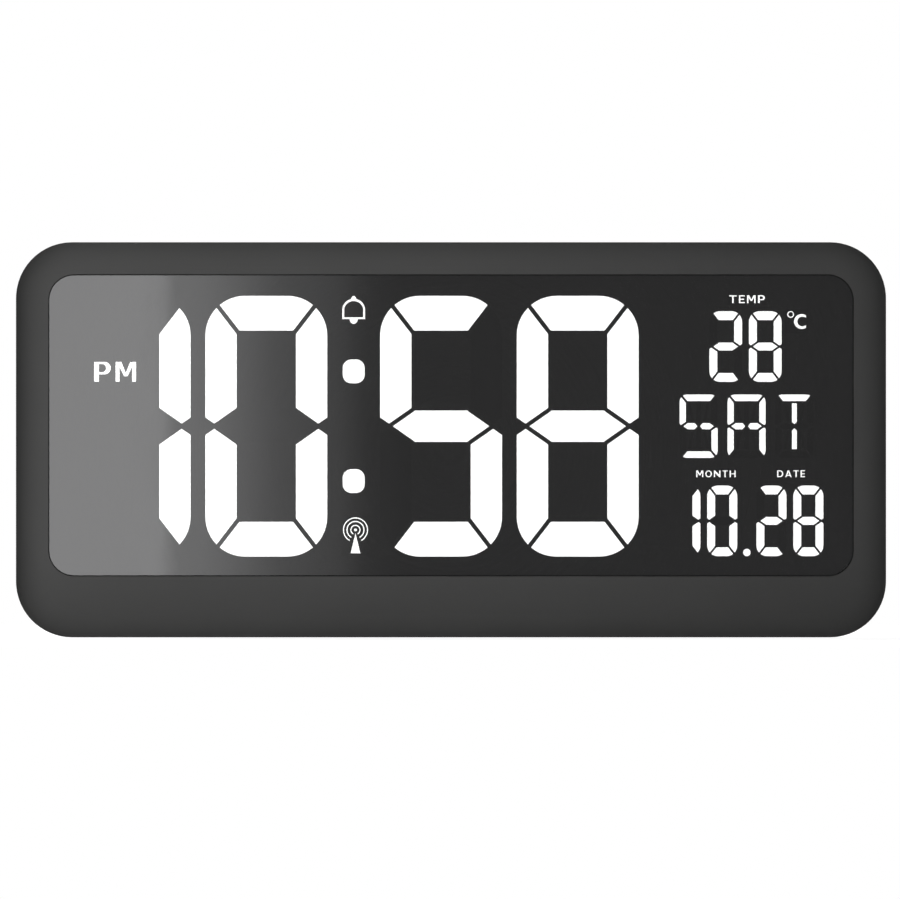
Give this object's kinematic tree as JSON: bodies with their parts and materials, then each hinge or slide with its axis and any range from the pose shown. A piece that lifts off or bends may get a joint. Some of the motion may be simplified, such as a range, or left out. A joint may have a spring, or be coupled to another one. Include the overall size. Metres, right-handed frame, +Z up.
{
  "type": "digital clock",
  "caption": "Wide wall and desk clock with a half-mirror front, large lit segment digits, temperature and date column, rear keys, cell door, keyholes and swing-out legs.",
  "frame": {"origin": "middle of the flat underside, half way through the depth", "axes": "+Z up, +X to the right as seen from the front, the display faces -Y and the wall is at +Y"},
  "size_m": [0.38, 0.03, 0.1725],
  "materials": {
    "housing_plastic": "fine spark-eroded matte",
    "cover_plastic": "matte moulded",
    "leg_plastic": "matte moulded",
    "key_plastic": "satin moulded",
    "lens_mirror": "half-mirror polished",
    "foam_tape": "matte foam",
    "black_film": "matte print",
    "reflector_plastic": "matte white",
    "lit_segment": "milky, lit from behind",
    "dark_segment": "smoked, unlit",
    "board_laminate": "solder mask",
    "lamp_body": "glossy lamp",
    "chip_plastic": "matte moulded",
    "can_metal": "satin can",
    "bead_glaze": "glossy bead",
    "ferrite": "ground",
    "copper_wire": "lacquered winding",
    "clip_plastic": "natural moulded",
    "lead_sleeve": "smooth sleeve",
    "cell_steel": "brushed",
    "spring_steel": "plated strip",
    "screw_steel": "dark zinc"
  },
  "bodies": {
    "case": {"front_housing": "housing_plastic", "rear_cover": "cover_plastic", "mirror_lens": "lens_mirror", "lens_tape": "foam_tape", "mask_film": "black_film", "reflector_frame": "reflector_plastic", "display_board": "board_laminate", "key_board": "board_laminate", "led_chips": "lamp_body", "controller_chip": "chip_plastic", "driver_chips": "chip_plastic", "crystal": "can_metal", "capacitors": "can_metal", "buzzer": "chip_plastic", "thermistor": "bead_glaze", "dc_jack": "chip_plastic", "ferrite_rod": "ferrite", "antenna_coil": "copper_wire", "antenna_clips": "clip_plastic", "key_switches": "chip_plastic", "key_ribbon": "lead_sleeve", "cell_leads": "lead_sleeve", "coin_cell": "cell_steel", "cell_contact_minus": "spring_steel", "cell_contact_plus": "spring_steel", "leg_pins": "screw_steel", "case_screws": "screw_steel", "frame_screws": "screw_steel", "board_screws": "screw_steel", "key_screws": "screw_steel", "hour_tens": "lit_segment", "minute_ones": "lit_segment", "colon_dots": "lit_segment", "date_point": "lit_segment", "hour_ones": "dark_segment", "minute_tens": "dark_segment", "temperature_digits": "dark_segment", "weekday_letters": "dark_segment", "month_digits": "dark_segment", "day_digits": "dark_segment", "bell_window": "dark_segment", "mast_window": "dark_segment", "celsius_window": "dark_segment", "legend_windows": "dark_segment"},
    "left_leg": {"stand_leg_left": "leg_plastic"},
    "right_leg": {"stand_leg_right": "leg_plastic"},
    "cell_door": {"battery_door": "cover_plastic"},
    "key_mode": {"button_mode": "key_plastic", "plunger_mode": "chip_plastic"},
    "key_set": {"button_set": "key_plastic", "plunger_set": "chip_plastic"},
    "key_up": {"button_up": "key_plastic", "plunger_up": "chip_plastic"},
    "key_down": {"button_down": "key_plastic", "plunger_down": "chip_plastic"},
    "key_alarm": {"button_alarm": "key_plastic", "plunger_alarm": "chip_plastic"},
    "key_dim": {"button_dim": "key_plastic", "plunger_dim": "chip_plastic"}
  },
  "joints": [
    {"name": "left_leg_swing", "type": "hinge", "parent": "case", "child": "left_leg", "pos_m": [-0.148, 0.0113, 0], "axis": [0, 0, 1], "range_deg": [0, 90]},
    {"name": "right_leg_swing", "type": "hinge", "parent": "case", "child": "right_leg", "pos_m": [0.148, 0.0113, 0], "axis": [0, 0, -1], "range_deg": [0, 90]},
    {"name": "cell_door_swing", "type": "hinge", "parent": "case", "child": "cell_door", "pos_m": [0, 0.0138, 0.05], "axis": [-1, 0, 0], "range_deg": [0, 90]},
    {"name": "mode_press", "type": "slide", "parent": "case", "child": "key_mode", "axis": [0, -1, 0], "range_m": [0, 0.0005], "stiffness_N_per_m": 1000, "springref_m": -0.001},
    {"name": "set_press", "type": "slide", "parent": "case", "child": "key_set", "axis": [0, -1, 0], "range_m": [0, 0.0005], "stiffness_N_per_m": 1000, "springref_m": -0.001},
    {"name": "up_press", "type": "slide", "parent": "case", "child": "key_up", "axis": [0, -1, 0], "range_m": [0, 0.0005], "stiffness_N_per_m": 1000, "springref_m": -0.001},
    {"name": "down_press", "type": "slide", "parent": "case", "child": "key_down", "axis": [0, -1, 0], "range_m": [0, 0.0005], "stiffness_N_per_m": 1000, "springref_m": -0.001},
    {"name": "alarm_press", "type": "slide", "parent": "case", "child": "key_alarm", "axis": [0, -1, 0], "range_m": [0, 0.0005], "stiffness_N_per_m": 1000, "springref_m": -0.001},
    {"name": "dim_press", "type": "slide", "parent": "case", "child": "key_dim", "axis": [0, -1, 0], "range_m": [0, 0.0005], "stiffness_N_per_m": 1000, "springref_m": -0.001}
  ]
}
